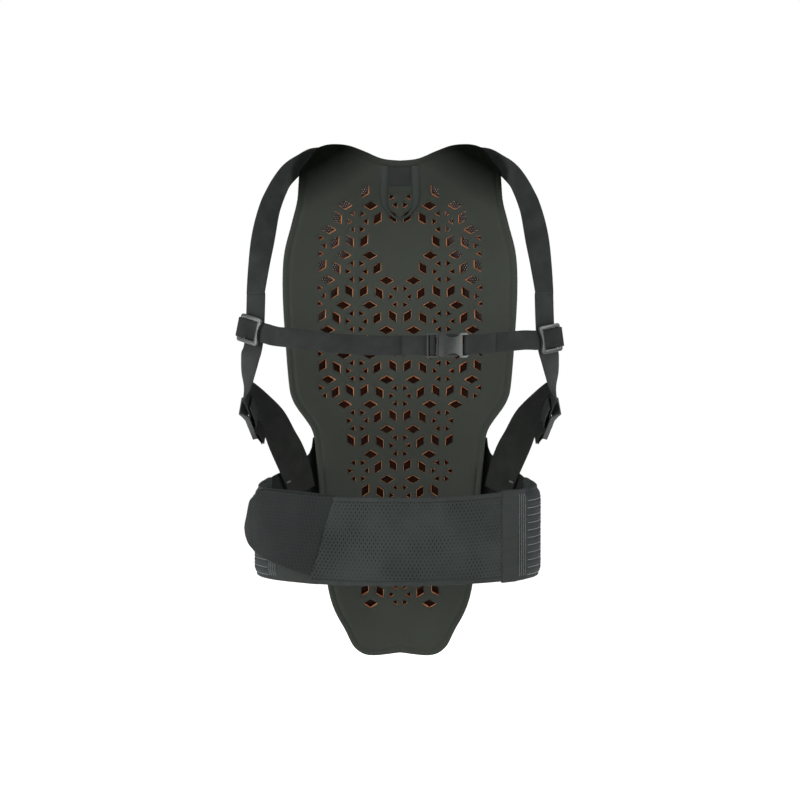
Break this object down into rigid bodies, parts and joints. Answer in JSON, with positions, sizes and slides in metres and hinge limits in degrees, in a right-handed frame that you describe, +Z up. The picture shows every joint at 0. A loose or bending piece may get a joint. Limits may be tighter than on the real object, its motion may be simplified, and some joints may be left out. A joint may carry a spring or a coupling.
{
  "type": "back protector",
  "caption": "Strap-on back protector: perforated spine-shaped panel with shoulder straps, a buckled chest strap and a closing waist belt.",
  "frame": {"origin": "middle of the panel's inner face, where it lies against the wearer's back", "axes": "+Z up the spine, +X to the right seen from the wearer's front, +Y away from the wearer"},
  "size_m": [0.3422, 0.2306, 0.5758],
  "materials": {
    "liner_foam": "matt",
    "core_foam": "matt",
    "cover_mesh": "matt",
    "woven_label": "matt",
    "webbing": "matt",
    "thread": "matt",
    "side_elastic": "matt",
    "moulded_plastic": "satin",
    "wing_cloth": "matt",
    "ribbed_elastic": "matt",
    "belt_mesh": "matt",
    "belt_binding": "matt",
    "tab_cloth": "matt",
    "hook_and_loop": "matt"
  },
  "bodies": {
    "panel": {"inner_liner": "liner_foam", "label_tongue": "liner_foam", "impact_core": "core_foam", "outer_cover": "cover_mesh", "size_label": "woven_label", "shoulder_strap_left": "webbing", "shoulder_strap_right": "webbing", "adjuster_web_left": "webbing", "adjuster_web_right": "webbing", "lock_keeper_left": "webbing", "lock_keeper_right": "webbing", "shoulder_bartack_left": "thread", "shoulder_bartack_right": "thread", "side_bartack_left": "thread", "side_bartack_right": "thread", "side_strap_left": "side_elastic", "side_strap_right": "side_elastic", "belt_wing_left": "wing_cloth", "belt_wing_right": "wing_cloth", "belt_elastic_left": "ribbed_elastic", "belt_elastic_right": "ribbed_elastic", "belt_seam_band": "belt_mesh", "loop_patch": "hook_and_loop"},
    "chest_strap": {"sternum_slider_left": "moulded_plastic", "sternum_slider_right": "moulded_plastic", "sternum_strap_left": "webbing", "sternum_strap_right": "webbing", "buckle_socket": "moulded_plastic"},
    "plug": {"buckle_plug": "moulded_plastic"},
    "arm_upper": {"latch_arm_upper": "moulded_plastic"},
    "arm_lower": {"latch_arm_lower": "moulded_plastic"},
    "lock_left": {"ladder_lock_left": "moulded_plastic"},
    "lock_right": {"ladder_lock_right": "moulded_plastic"},
    "front_flap": {"belt_front_panel": "belt_mesh", "belt_binding_top": "belt_binding", "belt_binding_bottom": "belt_binding", "closure_tab": "tab_cloth", "hook_patch": "hook_and_loop"}
  },
  "joints": [
    {"name": "sternum_height", "type": "slide", "parent": "panel", "child": "chest_strap", "axis": [0, 0, 1], "range_m": [-0.002, 0.02]},
    {"name": "buckle_release", "type": "slide", "parent": "chest_strap", "child": "plug", "axis": [-1, 0, 0], "range_m": [0, 0.026], "deforming": ["sternum_strap_left", "latch_arm_upper", "latch_arm_lower"]},
    {"name": "latch_upper_squeeze", "type": "hinge", "parent": "plug", "child": "arm_upper", "pos_m": [0.0391, -0.204, 0.0612], "axis": [0, 1, 0], "range_deg": [0, 8], "stiffness_Nm_per_rad": 0.3},
    {"name": "latch_lower_squeeze", "type": "hinge", "parent": "plug", "child": "arm_lower", "pos_m": [0.0391, -0.204, 0.0488], "axis": [0, -1, 0], "range_deg": [0, 8], "stiffness_Nm_per_rad": 0.3},
    {"name": "ladder_lock_left_tilt", "type": "hinge", "parent": "panel", "child": "lock_left", "pos_m": [-0.156, -0.093, -0.031], "axis": [0, -0.8538, -0.5206], "range_deg": [0, 40], "deforming": ["adjuster_web_left"]},
    {"name": "ladder_lock_right_tilt", "type": "hinge", "parent": "panel", "child": "lock_right", "pos_m": [0.156, -0.093, -0.031], "axis": [0, 0.8538, 0.5206], "range_deg": [0, 40], "deforming": ["adjuster_web_right"]},
    {"name": "belt_opening", "type": "hinge", "parent": "panel", "child": "front_flap", "pos_m": [0.10449, -0.17675, -0.14], "axis": [0, 0, 1], "range_deg": [0, 100]}
  ]
}
